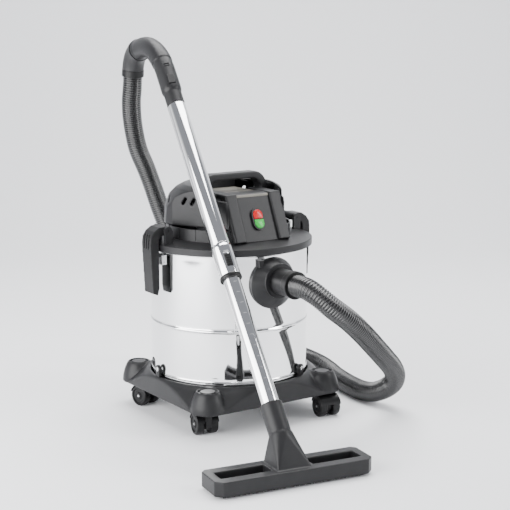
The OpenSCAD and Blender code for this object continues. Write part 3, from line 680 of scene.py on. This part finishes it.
make_tank()
make_tubes()
for corner_name in ("fl", "fr", "rl", "rr"):
    make_wheels(corner_name)
for soft_node, soft_width in SOFTENED.items():
    soften(soft_node, soft_width)
for melted_node, (voxel_mm, melt_rounds, kept) in MELTED.items():
    melted = melt(copy_of(melted_node), voxel_mm * MM, melt_rounds)
    stand_for(thin_out(melted, kept), melted_node, material=MATERIAL_OF_SLOT[SLOT_OF[melted_node]])

# ---- handle: a bent tube with a stepped grip ----

def bend_path(start_low, straight, radius, degrees, step=1.5 * MM):
    """Points up the wand's axis, then round an arc towards the head, in the wand's frame."""
    points = [Vector((0, 0, start_low + straight * k / 40)) for k in range(40)]
    count = int(math.radians(degrees) * radius / step)
    for k in range(count + 1):
        a = math.radians(degrees) * k / count
        points.append(Vector((radius * (1 - math.cos(a)), 0, start_low + straight + radius * math.sin(a))))
    return points


def profile(at, table):
    """Reads a radius from (distance, radius) pairs, easing between them."""
    for (s0, r0), (s1, r1) in zip(table, table[1:]):
        if at <= s1:
            t = (at - s0) / max(s1 - s0, 1e-9)
            t = min(max(t, 0), 1)
            return r0 + (r1 - r0) * t * t * (3 - 2 * t)
    return table[-1][1]


def tube_by_table(name, path, table, sides=64):
    """A tube in the wand's frame whose radius follows a table of distances."""
    spots = [WAND @ p for p in path]
    lengths = [0.0]
    for a, b in zip(spots, spots[1:]):
        lengths.append(lengths[-1] + (b - a).length)
    last = len(spots) - 1
    heads = [(spots[min(k + 1, last)] - spots[max(k - 1, 0)]).normalized() for k in range(len(spots))]
    return tube(name, spots, heads, lambda k: profile(lengths[k], table), sides)


def make_handle():
    low, high = span("outer_tube", WAND)
    top = high.z
    path = bend_path(top, 80 * MM, 130 * MM, 68)
    arc_length = math.radians(68) * 130 * MM
    end = 80 * MM + arc_length
    table = [(0, 16.6 * MM), (1 * MM, 17.1 * MM), (29 * MM, 17.1 * MM), (36 * MM, 19.2 * MM),
             (40 * MM, 19.5 * MM), (104 * MM, 19.3 * MM), (105 * MM, 20.4 * MM), (150 * MM, 20.2 * MM),
             (end - 12 * MM, 20.6 * MM), (end - 4 * MM, 21.4 * MM), (end - 1.5 * MM, 21.4 * MM),
             (end, 20.8 * MM)]
    grip = tube_by_table("bent_grip", path, table)
    for at in (84 * MM, 88.5 * MM):
        ridge = extrude("ridge", rounded_rect(11 * MM, 1.5 * MM, 0.7 * MM, 3), 17 * MM, 20.4 * MM,
                        beside_wand(0, top + at))
        cut(grip, ridge, join=True)
    stand_for(smooth(grip, 40), "handle_tube", material=CHARCOAL)


make_handle()

# ---- switch ----

def panel_frame():
    """Local X runs right, Y up the leaning panel and Z out of it, from the middle of the bezel."""
    press = Vector(JOINTS["stop_press"]["axis"]).normalized()
    right = Vector((1, 0, 0))
    up = -press.cross(right)
    if up.z < 0:
        up = -up
    low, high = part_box("switch_bezel")
    turn = Matrix((right, up, -press)).transposed().to_4x4()
    return Matrix.Translation((low + high) / 2) @ turn


def domed(name, outline, low, high, rise, place, round_edge=0.8 * MM):
    """A prism whose upper face swells into a shallow dome."""
    middle = Vector((sum(p[0] for p in outline), sum(p[1] for p in outline))) / len(outline)
    half = max((Vector(p) - middle).length for p in outline)
    edge = round_edge / half
    rings = [(1.0, low), (1.0, high - round_edge)]
    rings += [(1 - edge * 0.3, high - round_edge * 0.35), (1 - edge, high)]
    for share in (0.85, 0.7, 0.55, 0.4, 0.25, 0.1):
        rings.append((share, high + rise * (1 - (share / (1 - edge)) ** 2)))
    count = len(outline)
    points, faces = [], []
    for share, z in rings:
        for x, y in outline:
            flat = middle + (Vector((x, y)) - middle) * share
            points.append(place @ Vector((flat.x, flat.y, z)))
    for k in range(len(rings) - 1):
        for i in range(count):
            j = (i + 1) % count
            faces.append((k * count + i, k * count + j, (k + 1) * count + j, (k + 1) * count + i))
    last = (len(rings) - 1) * count
    faces += [tuple(range(count))[::-1], tuple(range(last, last + count))]
    return from_lists(name, points, faces)


def make_buttons():
    panel = panel_frame()
    for node, side, material in (("red_button", 1, RED), ("green_button", -1, GREEN)):
        low, high = span(node, panel)
        half = (high.x - low.x) / 2
        flat_y, round_y = (low.y, high.y) if side > 0 else (high.y, low.y)
        corner = 1.2 * MM
        centre_y = round_y - side * half
        outline = [(side * half, flat_y + side * corner)]
        outline += [(side * x, centre_y + side * y) for x, y in arc((0, 0), half, 0, 180, 24)]
        outline += [(-side * half, flat_y + side * corner), (-side * (half - corner), flat_y),
                    (side * (half - corner), flat_y)]
        cap = domed(node + "_cap", outline, low.z, high.z - 0.9 * MM, 1.3 * MM, panel)
        stand_for(smooth(cap, 85), node, material=material)


# ---- floor head's brushes ----

def make_bristles():
    """Two rows of nylon tufts in their strips."""
    place = floor_frame()
    low, high = span("brush_strips", place)
    strips, tufts = [], []
    for y in (low.y, high.y):
        inward = 1 if y == low.y else -1
        middle = y + inward * 2.8 * MM
        strips.append(((low.x, high.x), (middle - 2.8 * MM, middle + 2.8 * MM)))
        for row in (-1.3 * MM, 0, 1.3 * MM):
            x = low.x + 2 * MM
            while x < high.x - 2 * MM:
                tufts.append((x + random.uniform(-0.3, 0.3) * MM, middle + row))
                x += 2.6 * MM
    points, faces = [], []
    for (x0, x1), (y0, y1) in strips:
        corners = [(x0, y0), (x1, y0), (x1, y1), (x0, y1)]
        start = len(points)
        points += [place @ Vector((x, y, z)) for z in (4.2 * MM, high.z) for x, y in corners]
        faces += [tuple(start + i for i in face) for face in
                  ((3, 2, 1, 0), (4, 5, 6, 7), (0, 1, 5, 4), (1, 2, 6, 5), (2, 3, 7, 6), (3, 0, 4, 7))]
    for x, y in tufts:
        start = len(points)
        lean = Vector((random.uniform(-0.5, 0.5), random.uniform(-0.6, 0.6), 0)) * MM
        tip_z = low.z + random.uniform(0.05, 0.5) * MM
        for z, r, move in ((5 * MM, 0.75 * MM, 0), (tip_z, 0.95 * MM, 1)):
            for k in range(5):
                turn = 2 * math.pi * k / 5
                offset = Vector((r * math.cos(turn), r * math.sin(turn), 0)) + lean * move
                points.append(place @ (Vector((x, y, z)) + offset))
        sides = [(i, 5 + i, 5 + (i + 1) % 5, (i + 1) % 5) for i in range(5)]
        faces += [tuple(start + i for i in face) for face in ((0, 1, 2, 3, 4), (9, 8, 7, 6, 5), *sides)]
    brushes = from_lists("bristle_strips", points, faces)
    stand_for(smooth(brushes, 60), "brush_strips", material=BRISTLE)


def floor_frame():
    """On the floor under the floor head's middle, X along it and Y towards the drum."""
    axis = Vector(JOINTS["wand_lift"]["axis"]).normalized()
    up = Vector((0, 0, 1))
    turn = Matrix((axis, up.cross(axis), up)).transposed().to_4x4()
    rough = Matrix.Translation(Vector(JOINTS["wand_lift"]["pos_m"])) @ turn
    low, high = span("brush_strips", rough)
    return rough @ Matrix.Translation(((low.x + high.x) / 2, (low.y + high.y) / 2, 0))


# ---- screws ----

def make_clip_screws():
    """Pan-head screws with a cross recess in the three lugs of the dolly."""
    heads = []
    radius, out = 4.5 * MM, 5 * MM
    for degrees in (-62, 58, 178):
        place = (Matrix.Rotation(math.radians(degrees), 4, "Z") @ Matrix.Translation((0.153, 0, 0.1))
                 @ Matrix.Rotation(math.pi / 2, 4, "Y"))
        outline = [(0, 0), (2.5 * MM, 0), (2.5 * MM, out), (radius, out), (radius, out + 0.5 * MM)]
        outline += [(radius * math.cos(a), out + 0.5 * MM + 1.5 * MM * math.sin(a))
                    for a in [math.pi / 2 * k / 6 for k in range(1, 6)]]
        outline.append((0, out + 2 * MM))
        head = revolve("screw", outline, place, 32, closed=False)
        for turn in (20, 110):
            slot = extrude("slot", rounded_rect(5 * MM, 0.9 * MM, 0.3 * MM, 2), out + 1 * MM, out + 4 * MM,
                           place @ Matrix.Rotation(math.radians(turn), 4, "Z"))
            cut(head, slot)
        heads.append(head)
    screws = join(heads[0], *heads[1:])
    screws.name = "lug_screws"
    stand_for(smooth(screws, 40), "clip_screws", material=ZINC)


# ---- head: brow over the switch panel and the wall behind the top plate ----

def yz_slab(name, outline, half):
    """A slab across the head; its outline is given as (y, z) in millimetres."""
    points = [Vector((side * half, y, z)) * MM for side in (-1, 1) for y, z in outline]
    count = len(outline)
    faces = [tuple(range(count)), tuple(range(count, 2 * count))[::-1]]
    faces += [(i, i + count, (i + 1) % count + count, (i + 1) % count) for i in range(count)]
    return from_lists(name, points, faces)


def make_head_infill():
    plate_low, plate_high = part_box("top_panel")
    panel_low, panel_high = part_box("switch_panel")
    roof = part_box("head_cover")[1].z / MM
    top, back = plate_high.z / MM, plate_high.y / MM
    edge_y, edge_z = panel_high.y / MM, panel_high.z / MM
    half = (plate_high.x - plate_low.x) / 2 / MM
    brow = yz_slab("panel_brow", [
        (edge_y - 4, edge_z - 3), (edge_y + 3, top - 3), (edge_y + 9, top + 1.6), (edge_y + 38, top + 2.2),
        (edge_y + 38, top + 0.1), (edge_y + 9, top - 2), (edge_y + 3, edge_z - 3)], half)
    bevel(brow, 1.0 * MM, 3, 25)
    add_on(brow, "vacuum", CHARCOAL)
    wall = yz_slab("roof_wall", [(back - 1.5, top - 4), (back + 1.5, top - 4), (back + 1.5, roof - 1.5),
                                 (back - 1.5, roof - 1.5)], half + 0.2)
    add_on(wall, "vacuum", CHARCOAL)
    stand_for(bevel(copy_of("latch_pins"), 0.4 * MM), "latch_pins", material=BLACK)


make_head_infill()
make_buttons()
make_bristles()
make_clip_screws()
